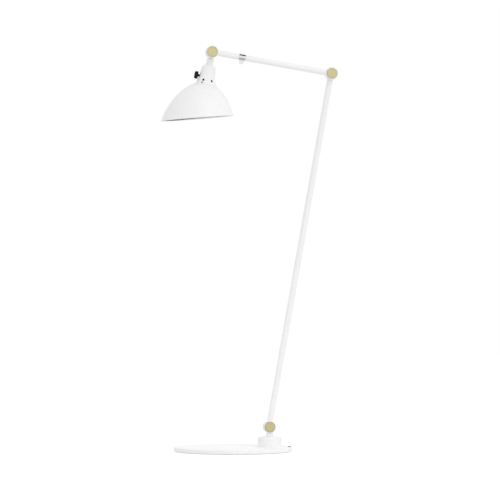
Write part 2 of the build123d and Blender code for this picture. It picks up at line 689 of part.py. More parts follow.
# Lampholder's places: the shell sits in a well below the switch, and the neck clears the body
holder_top = nipple_end + HOLDER_HEADROOM
holder_mouth = shade_top + HOLDER_NECK_LENGTH
shell_radius = SHELL_BORE_DIAMETER / 2 + SHELL_THICKNESS
shell_mouth = holder_mouth - SHELL_SETBACK
shell_top = shell_mouth - SHELL_DEPTH
well_floor = shell_top - CONTACT_SETBACK - CONTACT_BUTTON_HEIGHT - CONTACT_PLATE
well_radius = shell_radius + SEAT_CLEARANCE
holder_radius = well_radius + HOLDER_WALL
holder_neck_radius = holder_radius + HOLDER_NECK_STEP
neck_top_radius = HEAD_STEM_DIAMETER / 2 + NECK_TOP_MARGIN
neck_shoulder_radius = holder_radius + HOLDER_CLEARANCE + NECK_WALL
neck_waist_radius = neck_shoulder_radius + NECK_WAIST_SPREAD
neck_mouth_radius = neck_waist_radius + NECK_FLARE
holder_flange_radius = neck_waist_radius + HOLDER_FLANGE_STEP
shade_top_radius = holder_flange_radius + SHADE_SEAT_MARGIN
flange_level = shade_top - HOLDER_FLANGE_THICKNESS / 2
switch_level = well_floor - SWITCH_FLOOR_WALL - SWITCH_BUSH_DIAMETER / 2
switch_member = side_plane(head_member, SWITCH_ANGLE, switch_level, 0)

# Neck cover: a spun sleeve with a round shoulder, a straight waist and a flared mouth,
# trimmed to the crown of the shade that it stands on
shade_join = (SHADE_JOIN_RADIUS, shade_top + SHADE_JOIN_DROP)
join_slope = (sin(radians(SHADE_JOIN_SLOPE)), cos(radians(SHADE_JOIN_SLOPE)))
crown_slope = (-join_slope[0], -join_slope[1])
trim_top = shade_top - RUNNING_GAP
trim_join = (SHADE_JOIN_RADIUS, trim_top + SHADE_JOIN_DROP)
neck_start = neck_top + RUNNING_GAP
neck_end = shade_top + NECK_OVERHANG
neck_shoulder = (neck_shoulder_radius, neck_start + NECK_SHOULDER_DROP)
neck_waist = (neck_waist_radius, neck_start + NECK_WAIST_DROP)

with BuildPart() as neck_cover:
    with BuildSketch(head_member):
        with BuildLine():
            Line((NIPPLE_DIAMETER / 2 + RUNNING_GAP, neck_start), (neck_top_radius, neck_start))
            SagittaArc((neck_top_radius, neck_start), neck_shoulder, -NECK_SHOULDER_BULGE)
            waist = Line(neck_shoulder, neck_waist)
            TangentArc(neck_waist, (neck_mouth_radius, neck_end), tangent=waist % 1)
            offset(amount=NECK_WALL, side=Side.LEFT)
        make_face()
    revolve(axis=head_axis)
    with BuildSketch(head_member):
        with BuildLine():
            TangentArc(trim_join, (shade_top_radius, trim_top), tangent=crown_slope)
            Polyline((shade_top_radius, trim_top), (0, trim_top), (0, trim_join[1]), trim_join)
        make_face()
    revolve(axis=head_axis, mode=Mode.SUBTRACT)
    for index in range(VENT_COUNT):
        vent_angle = VENT_START_ANGLE + index * 360 / VENT_COUNT
        with BuildSketch(side_plane(head_member, vent_angle, shade_top - VENT_RISE, 0)):
            Circle(VENT_DIAMETER / 2)
        extrude(amount=neck_mouth_radius, mode=Mode.SUBTRACT)
    for index in range(NECK_SCREW_COUNT):
        screw_angle = NECK_SCREW_ANGLE + index * 360 / NECK_SCREW_COUNT
        with BuildSketch(side_plane(head_member, screw_angle, flange_level, 0)):
            Circle(NECK_SCREW_DIAMETER / 2 + SEAT_CLEARANCE)
        extrude(amount=2 * neck_mouth_radius, mode=Mode.SUBTRACT)
    with BuildSketch(switch_member):
        Circle(SWITCH_BUSH_DIAMETER / 2 + SEAT_CLEARANCE)
    extrude(amount=neck_mouth_radius, mode=Mode.SUBTRACT)
finish(neck_cover, "neck_cover")

# Grub screws that hold the neck cover to the lampholder's flange
with BuildPart() as neck_screws:
    for index in range(NECK_SCREW_COUNT):
        screw_angle = NECK_SCREW_ANGLE + index * 360 / NECK_SCREW_COUNT
        with BuildSketch(side_plane(head_member, screw_angle, flange_level, holder_flange_radius)):
            Circle(NECK_SCREW_DIAMETER / 2)
        extrude(amount=NECK_SCREW_LENGTH)
finish(neck_screws, "neck_screws")

# Lampholder: a moulded body with a flange that the shade's ring draws the shade up against
with BuildPart() as lampholder_body:
    with BuildSketch(head_member):
        with BuildLine():
            Polyline(
                (0, holder_top),
                (holder_radius - HOLDER_SHOULDER, holder_top),
                (holder_radius, holder_top + HOLDER_SHOULDER),
                (holder_radius, shade_top - HOLDER_FLANGE_THICKNESS),
                (holder_flange_radius, shade_top - HOLDER_FLANGE_THICKNESS),
                (holder_flange_radius, shade_top),
                (holder_neck_radius, shade_top),
                (holder_neck_radius, holder_mouth),
                (well_radius, holder_mouth),
                (well_radius, well_floor),
                (0, well_floor),
                close=True,
            )
        make_face()
    revolve(axis=head_axis)
    with BuildSketch(switch_member.offset(holder_radius)):
        Circle(SWITCH_BUSH_DIAMETER / 2 + SEAT_CLEARANCE)
    extrude(amount=-SWITCH_BUSH_DEPTH, mode=Mode.SUBTRACT)
    with BuildSketch(switch_member.offset(holder_radius)):
        Circle(SWITCH_SHAFT_DIAMETER / 2 + RUNNING_GAP)
    extrude(amount=-SWITCH_SHAFT_DEPTH - RUNNING_GAP, mode=Mode.SUBTRACT)
finish(lampholder_body, "lampholder_body")

# Threaded brass shell and centre contact inside the lampholder
with BuildPart() as lampholder_shell:
    with BuildSketch(cross_section(head_member, shell_top)):
        Circle(shell_radius)
        Circle(SHELL_BORE_DIAMETER / 2, mode=Mode.SUBTRACT)
    extrude(amount=SHELL_DEPTH)
finish(lampholder_shell, "lampholder_shell")

with BuildPart() as lampholder_contact:
    with BuildSketch(cross_section(head_member, well_floor)):
        Circle(CONTACT_DIAMETER / 2)
    extrude(amount=CONTACT_PLATE)
    with BuildSketch(cross_section(head_member, well_floor + CONTACT_PLATE)):
        Circle(CONTACT_BUTTON_DIAMETER / 2)
    extrude(amount=CONTACT_BUTTON_HEIGHT)
    button_edge = lampholder_contact.edges().filter_by(GeomType.CIRCLE).sort_by(head_axis)[-1]
    fillet(button_edge, CONTACT_BUTTON_HEIGHT / 2)
finish(lampholder_contact, "lampholder_contact")

# Shade: two tangent arcs turned about the head's axis, then cut off at a slant
shade_hole_radius = holder_neck_radius + SEAT_CLEARANCE
rim_normal = (-sin(radians(SHADE_RIM_SLANT)), cos(radians(SHADE_RIM_SLANT)), 0)
rim_origin = head_member.from_local_coords((0, shade_top + SHADE_RIM_DROP, 0))
rim_direction = head_member.from_local_coords(Vector(0, shade_top + SHADE_RIM_DROP, 0) + Vector(rim_normal))
rim_plane = Plane(origin=rim_origin, z_dir=rim_direction - rim_origin)
skirt_radius = shade_join[0] + SHADE_FLANK_RADIUS * (1 - join_slope[1])
skirt_level = shade_join[1] + SHADE_FLANK_RADIUS * join_slope[0]

with BuildPart() as shade:
    for inset, mode in ((0.0, Mode.ADD), (SHADE_WALL, Mode.SUBTRACT)):
        wall_top = (shade_top_radius - inset / 2, shade_top + inset)
        wall_join = (shade_join[0] - inset * join_slope[1], shade_join[1] + inset * join_slope[0])
        wall_skirt = (skirt_radius - inset, skirt_level)
        with BuildSketch(head_member):
            with BuildLine():
                TangentArc(wall_join, wall_top, tangent=crown_slope)
                TangentArc(wall_join, wall_skirt, tangent=join_slope)
                Polyline(wall_top, (0, wall_top[1]), (0, wall_skirt[1]), wall_skirt)
            make_face()
        revolve(axis=head_axis, mode=mode)
    with BuildSketch(cross_section(head_member, shade_top)):
        Circle(shade_hole_radius)
    extrude(amount=SHADE_WALL, mode=Mode.SUBTRACT)
    with BuildSketch(rim_plane):
        Circle(2 * skirt_radius)
    extrude(amount=skirt_level, mode=Mode.SUBTRACT)
finish(shade, "shade")

# Notched ring nut that clamps the shade to the lampholder
shade_ring_top = shade_top + SHADE_WALL

with BuildPart() as shade_ring:
    with BuildSketch(cross_section(head_member, shade_ring_top)):
        Circle(holder_flange_radius)
        Circle(shade_hole_radius, mode=Mode.SUBTRACT)
        with PolarLocations(holder_flange_radius, SHADE_RING_NOTCHES):
            Circle(SHADE_RING_NOTCH_DIAMETER / 2, mode=Mode.SUBTRACT)
    extrude(amount=SHADE_RING_THICKNESS)
finish(shade_ring, "shade_ring")

# Switch: a fixed bush through the neck, and a shaft and knob that turn in it
switch_bush_end = neck_waist_radius + SWITCH_BUSH_PROUD
knob_start = switch_bush_end + LOOSE_CLEARANCE
knob_axis = Axis(switch_member.origin, switch_member.z_dir)

with BuildPart() as switch_bush:
    with BuildSketch(switch_member.offset(holder_radius - SWITCH_BUSH_DEPTH)):
        Circle(SWITCH_BUSH_DIAMETER / 2)
        Circle(SWITCH_SHAFT_DIAMETER / 2 + RUNNING_GAP, mode=Mode.SUBTRACT)
    extrude(amount=switch_bush_end - holder_radius + SWITCH_BUSH_DEPTH)
finish(switch_bush, "switch_bush")

with BuildPart() as switch_shaft:
    with BuildSketch(switch_member.offset(holder_radius - SWITCH_SHAFT_DEPTH)):
        Circle(SWITCH_SHAFT_DIAMETER / 2)
    extrude(amount=knob_start + KNOB_BORE_DEPTH - holder_radius + SWITCH_SHAFT_DEPTH)
finish(switch_shaft, "switch_shaft")

with BuildPart() as switch_knob:
    with BuildSketch(switch_member.offset(knob_start)):
        Circle(KNOB_DIAMETER / 2)
        with PolarLocations(KNOB_DIAMETER / 2 + KNOB_FLUTE_DIAMETER / 2 - KNOB_FLUTE_DEPTH, KNOB_FLUTES):
            Circle(KNOB_FLUTE_DIAMETER / 2, mode=Mode.SUBTRACT)
    extrude(amount=KNOB_THICKNESS - KNOB_CROWN)
    with BuildSketch(switch_member.offset(knob_start + KNOB_THICKNESS - KNOB_CROWN)):
        Circle(KNOB_DIAMETER / 2 - KNOB_CROWN_INSET)
    extrude(amount=KNOB_CROWN)
    fillet(switch_knob.faces().sort_by(knob_axis)[-1].edges(), KNOB_EDGE_RADIUS)
    with BuildSketch(switch_member.offset(knob_start)):
        Circle(SWITCH_SHAFT_DIAMETER / 2 + SEAT_CLEARANCE)
    extrude(amount=KNOB_BORE_DEPTH, mode=Mode.SUBTRACT)
finish(switch_knob, "switch_knob")

print(f"base pivot {base_pivot.X:.2f} {base_pivot.Z:.2f}")
print(f"elbow pivot {elbow_pivot.X:.2f} {elbow_pivot.Z:.2f}")
print(f"head pivot {head_pivot.X:.2f} {head_pivot.Z:.2f}")
print(f"front plane Y 0.00, rear plane Y {lap:.2f}")
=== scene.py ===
# %% [markdown]
# # A floor lamp with two jointed arms
# The lamp stands on a round base and carries its shade on two thin tubes. Three clamped joints with brass
# caps let it reach over a chair or a desk. Its pieces come from CAD at their real size, in metres, and they
# stay where CAD put them. This lesson gives each piece its finish, adds the few forms that are easier to
# make as meshes, and sets up the camera and the studio.

# %% Load the lamp
import json
import math

import bmesh
import bpy
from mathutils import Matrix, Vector

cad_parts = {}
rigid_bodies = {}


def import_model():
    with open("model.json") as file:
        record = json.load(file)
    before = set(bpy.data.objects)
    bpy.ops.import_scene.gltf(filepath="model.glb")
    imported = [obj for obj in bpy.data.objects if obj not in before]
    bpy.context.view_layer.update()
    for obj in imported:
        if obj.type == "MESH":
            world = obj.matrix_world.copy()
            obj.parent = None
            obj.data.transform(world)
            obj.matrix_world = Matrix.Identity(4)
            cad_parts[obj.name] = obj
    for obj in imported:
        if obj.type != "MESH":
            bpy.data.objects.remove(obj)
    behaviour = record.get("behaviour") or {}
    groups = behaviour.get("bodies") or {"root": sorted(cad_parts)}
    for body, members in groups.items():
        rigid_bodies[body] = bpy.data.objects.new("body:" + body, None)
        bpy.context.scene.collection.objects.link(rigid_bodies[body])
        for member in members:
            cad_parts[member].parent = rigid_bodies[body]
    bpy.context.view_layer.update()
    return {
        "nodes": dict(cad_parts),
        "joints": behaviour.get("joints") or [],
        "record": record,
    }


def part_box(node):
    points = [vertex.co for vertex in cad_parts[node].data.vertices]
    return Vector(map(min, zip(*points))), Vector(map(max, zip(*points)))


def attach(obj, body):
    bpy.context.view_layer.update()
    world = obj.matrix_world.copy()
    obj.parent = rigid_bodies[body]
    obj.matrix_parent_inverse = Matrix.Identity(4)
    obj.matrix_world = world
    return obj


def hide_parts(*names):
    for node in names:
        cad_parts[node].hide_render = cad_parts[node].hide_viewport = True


for leftover in list(bpy.data.objects):
    bpy.data.objects.remove(leftover)

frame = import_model()
nodes = frame["nodes"]

# %% [markdown]
# ## Where things are
# Later steps keep asking for the same places: the pin of each joint, the line that the shade is turned
# about, and the side that the switch is on. They could be typed in, but then they would be wrong as soon as
# the CAD changed. The joints in the record already hold them, so they are read from there.

# %% Pins and directions
MM = 0.001

pin = {joint["name"]: Vector(joint["pos_m"]) for joint in frame["joints"]}
pin_direction = {joint["name"]: Vector(joint["axis"]).normalized() for joint in frame["joints"]}
head_start = pin["head_turn"]
head_down = pin_direction["head_turn"]
switch_side = pin_direction["switch_turn"]
front_side = head_down.cross(switch_side)
print("the head hangs along", [round(value, 3) for value in head_down])

# %% [markdown]
# ## Camera
# The lamp was photographed from far off with a long lens: nothing leans, and the base is a thin ellipse.
# A short lens close by could frame the lamp as well, but it would open that ellipse and stretch the shade.
# So the camera stands 10.5 m off. It is a little to the left, because each joint shows a sliver of its left
# side, and a little above half the lamp's height, because the base opens more than the shade does. Tilting
# it down would make the lamp lean, so it stays level and its lens is shifted, as on a view camera. What it
# looks at is measured from the base joint, and the lens follows from the width of the view.

# %% Camera
CAMERA_DISTANCE = 10.5
CAMERA_RISE = 0.055
CAMERA_AZIMUTH = math.radians(-4.5)
VIEW_WIDTH = 1.3335
VIEW_FROM_BASE_JOINT = Vector((-0.0518, 0.0, 0.4714))


def put_in_scene(name, data):
    """A new object that shows this data."""
    thing = bpy.data.objects.new(name, data)
    bpy.context.scene.collection.objects.link(thing)
    return thing


view_middle = pin["base_tilt"] + VIEW_FROM_BASE_JOINT
towards_camera = Vector((math.sin(CAMERA_AZIMUTH), -math.cos(CAMERA_AZIMUTH), 0))
long_lens = bpy.data.cameras.new("long_lens")
long_lens.lens = long_lens.sensor_width * CAMERA_DISTANCE / VIEW_WIDTH
long_lens.shift_y = -CAMERA_RISE / VIEW_WIDTH
camera = put_in_scene("camera", long_lens)
camera.location = view_middle + CAMERA_DISTANCE * towards_camera + Vector((0, 0, CAMERA_RISE))
camera.rotation_euler = (math.pi / 2, 0, CAMERA_AZIMUTH)
bpy.context.scene.camera = camera
bpy.context.scene.view_settings.view_transform = "Standard"
print("lens in mm", round(long_lens.lens, 1))

# %% [markdown]
# ## Nodes in one line
# A finish is a tree of nodes that ends in a Principled shader. Written out in full, each node takes four or
# five lines, and the reader loses sight of what it is for. These helpers make a node, start a material and
# link a texture to a socket, in one line each. A value that is the same all over the surface is set on the
# shader's own socket, where an exporter finds it.

# %% Helpers for nodes
def add_node(tree, kind, inputs=None, **settings):
    """A new node with some of its sockets set or linked."""
    node = tree.nodes.new(kind)
    for name, value in settings.items():
        setattr(node, name, value)
    for socket, value in (inputs or {}).items():
        if isinstance(value, bpy.types.NodeSocket):
            tree.links.new(value, node.inputs[socket])
        else:
            node.inputs[socket].default_value = value
    return node


def start_finish(name, **constants):
    """A new material, its node tree and its shader, with the values that are the same all over."""
    material = bpy.data.materials.new(name)
    material.use_nodes = True
    shader = material.node_tree.nodes["Principled BSDF"]
    for socket, value in constants.items():
        shader.inputs[socket.replace("_", " ")].default_value = value
    return material, material.node_tree, shader


def feed(tree, shader, socket, value):
    """Links a texture to one of the shader's sockets."""
    tree.links.new(value, shader.inputs[socket])


print("node helpers:", add_node.__name__, start_finish.__name__, feed.__name__)

# %% [markdown]
# ## Textures of a real size
# Grain looks wrong at any size but its own: the orange peel of paint is a millimetre across on a big piece
# and on a small one. Generated coordinates stretch with a piece, and UV maps would have to be unwrapped for
# fifty of them. Object coordinates are metres here and stay with a piece when it moves, so every texture
# starts from them. Noise keeps mostly to the middle of its range, and only that middle is put to use.

# %% Helpers for textures
NOISE_LOW = 0.3
NOISE_HIGH = 0.7


def place_on_piece(tree, stretch=(1, 1, 1)):
    """Coordinates in metres that stay with the piece when it moves, drawn out where stretch is small."""
    place = add_node(tree, "ShaderNodeTexCoord").outputs["Object"]
    return add_node(tree, "ShaderNodeMapping", {"Vector": place, "Scale": stretch}).outputs["Vector"]


def noise(tree, place, size, detail=2.0):
    """Soft spots of about the given size."""
    node = add_node(tree, "ShaderNodeTexNoise", {"Vector": place, "Scale": 1 / size, "Detail": detail})
    return node.outputs["Fac"]


def spread(tree, value, low, high):
    """The middle of a noise's range, moved to run from low to high."""
    inputs = {"Value": value, "From Min": NOISE_LOW, "From Max": NOISE_HIGH, "To Min": low, "To Max": high}
    return add_node(tree, "ShaderNodeMapRange", inputs).outputs["Result"]


print("noise is used from", NOISE_LOW, "to", NOISE_HIGH)

# %% [markdown]
# ## Colours and dents
# A texture is one number at each point. A ramp turns it into colours, and a bump turns it into dents. A bump
# only tilts the light, and moves no point, so it is right for grain that is finer than the mesh. A form that
# shows in an outline can't be made this way, which is why the bead, thread and screws below are real shapes.

# %% Helpers for colours and dents
def grey(level):
    """A colour without a tint."""
    return (level, level, level)


def ramp(tree, value, stops):
    """Colours along a value, as (position, colour) stops."""
    node = add_node(tree, "ShaderNodeValToRGB", {"Fac": value})
    elements = node.color_ramp.elements
    while len(elements) < len(stops):
        elements.new(0.5)
    for element, (position, colour) in zip(elements, stops):
        element.position = position
        element.color = (*colour, 1)
    return node.outputs["Color"]


def bump(tree, shader, height, depth):
    """Dents of the given depth in metres, where the height is low."""
    node = add_node(tree, "ShaderNodeBump", {"Height": height, "Distance": depth})
    feed(tree, shader, "Normal", node.outputs["Normal"])


print("colour helpers:", grey.__name__, ramp.__name__, bump.__name__)

# %% [markdown]
# ## White powder coat
# Base, tubes, knuckles and shade are painted metal. Powder coat is sprayed on dry and baked: it flows a
# little, so it dries to fine orange peel, about a millimetre across and a few hundredths deep, with a satin
# shine. A plain white would look like plaster. So a fine noise dents the surface, and a broad noise varies
# the shine and the white by an amount that is felt more than seen.

# %% Powder coat
PAINT_DRIFT = 45 * MM
PAINT_WHITES = [(0.35, grey(0.854)), (0.65, grey(0.868))]
PAINT_ROUGHNESS = (0.46, 0.55)
ORANGE_PEEL_SIZE = 1.2 * MM
ORANGE_PEEL_DEPTH = 0.03 * MM


def powder_coat():
    material, tree, shader = start_finish("white_powder_coat", IOR=1.5)
    place = place_on_piece(tree)
    drift = noise(tree, place, PAINT_DRIFT, detail=3)
    feed(tree, shader, "Base Color", ramp(tree, drift, PAINT_WHITES))
    feed(tree, shader, "Roughness", spread(tree, drift, *PAINT_ROUGHNESS))
    bump(tree, shader, noise(tree, place, ORANGE_PEEL_SIZE), ORANGE_PEEL_DEPTH)
    return material


finish = {"white_paint": powder_coat()}
print("made", finish["white_paint"].name)

# %% [markdown]
# ## Rings round a pin
# The brass caps are faced on a lathe, and the tool leaves rings round the pin and a small point in the
# middle. An image of rings would need a map for each cap. The rings can instead be read off one number, the
# distance from the pin. A joint's pin lies along Y, so a point's place is measured from the pin and its Y is
# struck out: what is left is the way out from the pin, and its length is the distance.

# %% Distance from a pin
ACROSS_THE_PINS = (1, 0, 1)
cap_low, cap_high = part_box("elbow_joint_front_cap")
cap_radius = (cap_high.x - cap_low.x) / 2


def out_from_pin(tree, joint):
    """The way out from a joint's pin to each point, and the length of that way."""
    shift = {"Vector": place_on_piece(tree), "Location": -pin[joint]}
    from_pin = add_node(tree, "ShaderNodeMapping", shift).outputs["Vector"]
    factors = {0: from_pin, 1: ACROSS_THE_PINS}
    way = add_node(tree, "ShaderNodeVectorMath", factors, operation="MULTIPLY").outputs["Vector"]
    reach = add_node(tree, "ShaderNodeVectorMath", {0: way}, operation="LENGTH").outputs["Value"]
    return way, reach


print("cap radius in mm", round(cap_radius / MM, 2))

# %% [markdown]
# ## Turned brass
# A noise along the distance from the pin gives grooves of uneven width. The same distance makes the metal
# darker and greyer towards the rim. The shine of turned metal is drawn out across its grooves. Grooves as a
# mesh would need a thousand rings, so the shader is told their direction instead: its tangent runs round the
# pin. Each cap's colours are also scaled by a painted light level, as painted shade: the cap near the floor
# is painted the darkest of the three, and the one at the head the brightest.

# %% Brass caps
BRASS_GROOVE = 0.55 * MM
BRASS_GROOVE_DEPTH = 0.012 * MM
BRASS_ROUGHNESS = (0.24, 0.36)
BRASS_FROM_PIN_TO_RIM = [
    (0.0, (0.50, 0.42, 0.17)),
    (0.10, (0.70, 0.62, 0.31)),
    (0.55, (0.70, 0.625, 0.335)),
    (0.85, (0.62, 0.575, 0.37)),
    (1.0, (0.56, 0.53, 0.38)),
]
BRASS_IN_GROOVES = [(0.35, (0.88, 0.87, 0.85)), (0.65, grey(1.0))]


def turned_brass(joint, painted_light_level):
    """Brass with rings round a joint's pin. A lower painted light level is a darker metal, as painted shade.
    """
    material, tree, shader = start_finish("turned_brass_" + joint, Metallic=1, Anisotropic=0.45)
    way, reach = out_from_pin(tree, joint)
    inputs = {"W": reach, "Scale": 1 / BRASS_GROOVE, "Detail": 2.0}
    rings = add_node(tree, "ShaderNodeTexNoise", inputs, noise_dimensions="1D").outputs["Fac"]
    share = add_node(tree, "ShaderNodeMath", {0: reach, 1: cap_radius}, operation="DIVIDE").outputs["Value"]
    # The brass colours are scaled by the painted light level: painted shade for a cap that gets less light.
    tones = [(position, [painted_light_level * part for part in colour]) for position, colour in BRASS_FROM_PIN_TO_RIM]
    layers = {0: ramp(tree, share, tones), 1: ramp(tree, rings, BRASS_IN_GROOVES)}
    colour = add_node(tree, "ShaderNodeVectorMath", layers, operation="MULTIPLY")
    feed(tree, shader, "Base Color", colour.outputs["Vector"])
    feed(tree, shader, "Roughness", spread(tree, rings, *BRASS_ROUGHNESS))
    inputs = {0: way, 1: pin_direction[joint]}
    around = add_node(tree, "ShaderNodeVectorMath", inputs, operation="CROSS_PRODUCT")
    feed(tree, shader, "Tangent", around.outputs["Vector"])
    bump(tree, shader, rings, BRASS_GROOVE_DEPTH)
    return material


# Painted shade: the cap near the floor gets the lowest painted light level, the head's cap the highest.
cap_finish = {
    "base_joint": turned_brass("base_tilt", painted_light_level=0.86),
    "elbow_joint": turned_brass("elbow", painted_light_level=0.97),
    "head_joint": turned_brass("head_tilt", painted_light_level=1.0),
}
print("made", [brass.name for brass in cap_finish.values()])

# %% [markdown]
# ## Plated and drawn metal
# The collar is chrome, bolts and nuts are plated with zinc, the screws in the neck are blackened, and the
# lampholder's shell and contact are drawn brass. These and the finishes after them could be ten separate
# node trees. But they all have grain of one kind: spots of one size that change the tone, the roughness and
# the height together. So one function takes the size and two ends for each of these. Where metal was drawn
# or brushed, the spots are drawn out along one direction.

# %% Metal
def grained(name, size, tones, roughness, depth, stretch=(1, 1, 1), detail=3.0, **constants):
    """A finish whose grain moves between two tones and two values of roughness, with dents of a depth."""
    material, tree, shader = start_finish(name, **constants)
    grain = noise(tree, place_on_piece(tree, stretch), size, detail)
    dark, light = tones
    feed(tree, shader, "Base Color", ramp(tree, grain, [(NOISE_LOW, dark), (NOISE_HIGH, light)]))
    feed(tree, shader, "Roughness", spread(tree, grain, *roughness))
    bump(tree, shader, grain, depth)
    return material


finish["polished_chrome"] = grained(
    "polished_chrome", size=6 * MM, tones=(grey(0.77), grey(0.83)), roughness=(0.02, 0.06),
    depth=0.001 * MM, Metallic=1)
finish["steel"] = grained(
    "zinc_steel", size=1.5 * MM, tones=((0.50, 0.51, 0.53), (0.62, 0.63, 0.64)), roughness=(0.25, 0.42),
    depth=0.01 * MM, stretch=(1, 0.15, 1), Metallic=1)
finish["blackened_steel"] = grained(
    "blackened_steel", size=0.8 * MM, tones=((0.018, 0.018, 0.020), (0.045, 0.045, 0.048)),
    roughness=(0.35, 0.55), depth=0.01 * MM, Metallic=0.8)
finish["drawn_brass"] = grained(
    "drawn_brass", size=1.2 * MM, tones=((0.62, 0.48, 0.24), (0.76, 0.61, 0.33)), roughness=(0.22, 0.38),
    depth=0.008 * MM, stretch=(1, 1, 0.12), Metallic=1)
print("finishes", sorted(finish))

# %% [markdown]
# ## Mouldings and rubber
# The switch's knob and bush are moulded black plastic with the fine grain of their mould, the lampholder's
# body is pressed from a harder black thermoset, and the lead and its outlet are rubber. The swivel's bush
# and the ring that clamps the shade are white plastic. In a white room a black piece looks grey, because it
# mirrors the room. A darker colour can't help against a reflection, so the specular level is turned down.

# %% Mouldings
finish["black_plastic"] = grained(
    "black_moulding", size=0.35 * MM, tones=(grey(0.006), grey(0.012)), roughness=(0.34, 0.44),
    depth=0.012 * MM, Specular_IOR_Level=0.12)
finish["black_rubber"] = grained(
    "black_rubber", size=0.6 * MM, tones=((0.06, 0.06, 0.063), (0.10, 0.10, 0.105)), roughness=(0.62, 0.78),
    depth=0.03 * MM, Specular_IOR_Level=0.3)
finish["black_thermoset"] = grained(
    "black_thermoset", size=2.5 * MM, tones=((0.008, 0.007, 0.007), (0.018, 0.016, 0.015)),
    roughness=(0.40, 0.55), depth=0.02 * MM, Specular_IOR_Level=0.3)
finish["white_plastic"] = grained(
    "white_moulding", size=0.5 * MM, tones=((0.80, 0.80, 0.78), (0.85, 0.85, 0.83)), roughness=(0.36, 0.48),
    depth=0.012 * MM)
print("finishes", sorted(finish))

# %% [markdown]
# ## Fibre and felt
# A brown fibre disc rubs in each joint and holds the arm where it is put, and a felt pad lies under the
# base. Both are mats of short fibres. Hair strands would show them one by one, at a cost that nobody sees on
# a thin edge. A noise with more detail is rough enough, and the felt gets a sheen, the pale bloom that
# fibres standing out of a surface give it.

# %% Fibres
finish["friction_fibre"] = grained(
    "friction_fibre", size=0.9 * MM, tones=((0.20, 0.11, 0.06), (0.36, 0.21, 0.12)), roughness=(0.75, 0.92),
    depth=0.05 * MM, detail=6)
finish["felt"] = grained(
    "grey_felt", size=0.5 * MM, tones=((0.70, 0.69, 0.67), (0.84, 0.83, 0.81)), roughness=(0.88, 0.98),
    depth=0.2 * MM, detail=8, Sheen_Weight=0.4)
print("finishes", sorted(finish))

# %% [markdown]
# ## Dressing the CAD pieces
# Each CAD piece already has one material slot, and the record says which finish belongs in it. Assigning by
# hand would be fifty lines that can miss a piece, so a loop follows the record. Only the brass caps need a
# second look: their rings belong to one joint, and the piece's name starts with that joint's name.

# %% Give every CAD piece its finish
for part in frame["record"]["subparts"]:
    name = part["node"]
    if part["material_slot"] == "turned_brass":
        joint = "_".join(name.split("_")[:2])
        nodes[name].data.materials[0] = cap_finish[joint]
    else:
        nodes[name].data.materials[0] = finish[part["material_slot"]]

# %% [markdown]
# ## Meshes from rings
# The pieces that are left are all made of rings: a felt disc, a rolled edge, a thread and small screws. They
# could be built from Blender's cylinders and cut with booleans, which leaves untidy faces. A row of rings
# with the same number of points, joined by quads, gives clean meshes, and any ring can have its own shape.

# %% Skin over rings
SHARP_ANGLE = math.radians(40)


def skin_rings(name, rings, material, loop=False):
    """A mesh over rings of points, either closed into a loop or capped at both ends."""
    count = len(rings[0])
    shape = bmesh.new()
    rows = [[shape.verts.new(point) for point in ring] for ring in rings]
    next_rows = rows[1:] + rows[:1] if loop else rows[1:]
    for row, following in zip(rows, next_rows):
        for index in range(count):
            after = (index + 1) % count
            shape.faces.new((row[index], row[after], following[after], following[index]))
    if not loop:
        shape.faces.new(list(reversed(rows[0])))
        shape.faces.new(rows[-1])
    bmesh.ops.recalc_face_normals(shape, faces=shape.faces)
    for face in shape.faces:
        face.smooth = len(face.verts) == 4
    mesh = bpy.data.meshes.new(name)
    shape.to_mesh(mesh)
    shape.free()
    mesh.set_sharp_from_angle(angle=SHARP_ANGLE)
    mesh.materials.append(material)
    print(name, len(mesh.polygons), "faces")
    return put_in_scene(name, mesh)


print("edges over", round(math.degrees(SHARP_ANGLE)), "degrees stay sharp")

# %% [markdown]
# ## The felt's outline
# The plate stands on a thin disc of felt, so that it doesn't scratch the floor. Felt is cut with a die: its
# edge is soft and a little ragged, and it has a notch where the lead's outlet comes through. The disc could
# be Blender's own circle with a boolean for the notch. A formula for how far the felt reaches at each angle
# gives the notch and the ragged edge at once. The sizes of disc and notch are read from the CAD pieces.

# %% How far the felt reaches
FELT_EDGE_WAVE = 0.12 * MM
FELT_WAVES_PER_TURN = (31, 11.3)
FELT_WAVE_SHIFT = 1.0
NOTCH_MARGIN = 0.1 * MM
pad_low, pad_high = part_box("base_pad")
pad_radius = (pad_high.y - pad_low.y) / 2
outlet_low, outlet_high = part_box("cord_outlet")
notch_half_width = (outlet_high.y - outlet_low.y) / 2
pad_points = [vertex.co for vertex in nodes["base_pad"].data.vertices]
notch_start = max(point.x for point in pad_points if abs(point.y) < notch_half_width + NOTCH_MARGIN)
notch_angle = math.atan2(notch_half_width, notch_start)


def felt_reach(angle):
    """How far the felt goes from the middle, in the direction of an angle."""
    if abs(angle) < notch_angle:
        return notch_start / math.cos(angle)
    fine, coarse = FELT_WAVES_PER_TURN
    return pad_radius + FELT_EDGE_WAVE * math.sin(fine * angle) * math.sin(coarse * angle + FELT_WAVE_SHIFT)


print("felt radius in mm", round(pad_radius / MM, 1), "notch from", round(notch_start / MM, 1))

# %% [markdown]
# ## Felt under the base
# A simulation has nothing to do here, because the disc is glued flat. So it is a stack of rings that starts
# inset at the floor, swells to the full outline at half its height and draws in again, which rounds the cut
# edge. The fibres are left to the shader.

# %% Felt foot
FELT_COLUMNS = 240
FELT_EDGE_STEPS = 6
JUST_INSIDE = 0.999
felt_sweep = 2 * math.pi - 2 * notch_angle
felt_angles = [notch_angle + felt_sweep * i / FELT_COLUMNS for i in range(FELT_COLUMNS + 1)]
felt_angles += [-JUST_INSIDE * notch_angle, 0.0, JUST_INSIDE * notch_angle]
felt_rounding = (pad_high.z - pad_low.z) / 2


